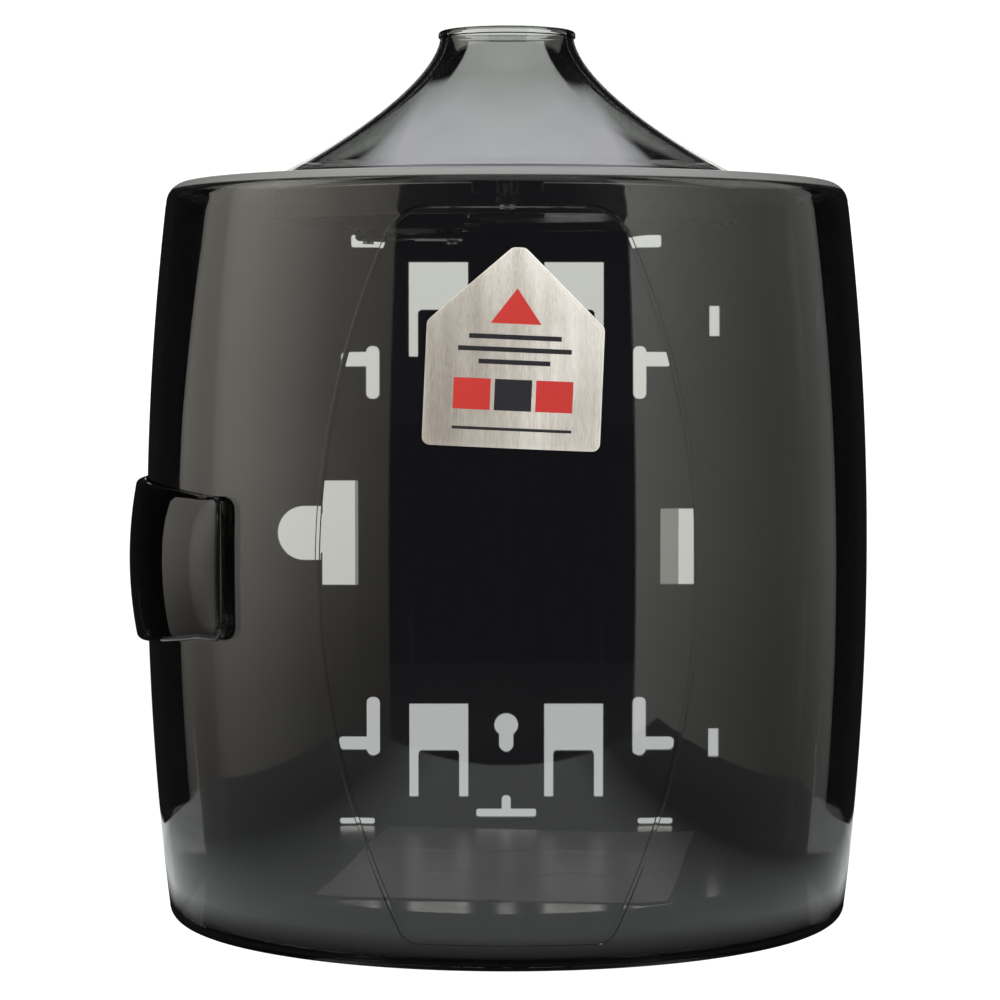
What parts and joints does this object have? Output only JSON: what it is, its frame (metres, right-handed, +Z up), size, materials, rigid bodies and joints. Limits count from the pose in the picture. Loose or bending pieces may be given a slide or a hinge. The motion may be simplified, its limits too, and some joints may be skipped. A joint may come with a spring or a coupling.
{
  "type": "wipes dispenser",
  "caption": "Barrel-shaped wall or counter dispenser for a roll of wipes, with a see-through smoked cover that swings open, a trumpet-shaped dispensing cone and a side latch.",
  "frame": {"origin": "on the cone's axis, at the height of the flat base; this is the bottom centre of the whole object's box to within 2 mm", "axes": "+Z up, -Y towards the user, +Y into the wall, latch at -X, hinge at +X"},
  "size_m": [0.2794, 0.2728, 0.3302],
  "materials": {
    "housing_plastic": "gloss black moulded plastic",
    "smoke_clear": "see-through smoke-grey plastic, polished",
    "smoke_latch": "see-through smoke-grey plastic, polished",
    "inner_plastic": "black moulded plastic",
    "dial_plastic": "pale moulded plastic",
    "steel": "plated steel",
    "rubber": "soft black rubber",
    "badge_metal": "vertically brushed foil with printed marks",
    "badge_resin": "clear domed resin",
    "label_film": "dark satin film, bare",
    "paper": "uncoated paper, bare"
  },
  "bodies": {
    "housing": {"rear_housing": "housing_plastic", "floor_tray": "housing_plastic", "tray_screws": "steel", "hinge_pin_upper": "steel", "hinge_pin_lower": "steel", "latch_keeper": "steel", "keeper_screws": "steel", "inner_label": "label_film", "paper_insert": "paper"},
    "cover": {"cover_shell": "smoke_clear", "dispensing_cone": "smoke_clear", "dispensing_plate": "inner_plastic", "plate_screws": "steel", "wipe_grommet": "rubber", "dial_washer": "steel", "adjuster_cover": "inner_plastic", "adjuster_screws": "steel", "badge_plate": "badge_metal", "badge_dome": "badge_resin", "latch_pin": "steel", "latch_spring": "steel"},
    "latch": {"latch_handle": "smoke_latch", "latch_hook": "steel", "hook_rivets": "steel"},
    "dial": {"tension_dial": "dial_plastic"},
    "shutter": {"tension_shutter": "inner_plastic"}
  },
  "joints": [
    {"name": "cover_swing", "type": "hinge", "parent": "housing", "child": "cover", "pos_m": [0.1334, 0.098, 0.137], "axis": [0, 0, 1], "range_deg": [0, 110]},
    {"name": "latch_lift", "type": "hinge", "parent": "cover", "child": "latch", "pos_m": [-0.09983, -0.09148, 0.134], "axis": [0, 0, 1], "range_deg": [0, 15], "stiffness_Nm_per_rad": 0.06},
    {"name": "dial_turn", "type": "hinge", "parent": "cover", "child": "dial", "pos_m": [-0.037, 0.0182, 0.2625], "axis": [0, 0, 1], "range_deg": [0, 100]},
    {"name": "shutter_slide", "type": "slide", "parent": "cover", "child": "shutter", "axis": [1, 0, 0], "range_m": [0, 0.01047]}
  ],
  "couplings": [
    {"joint": "dial_turn", "follows": "shutter_slide", "rad_per_m": 166.67}
  ]
}
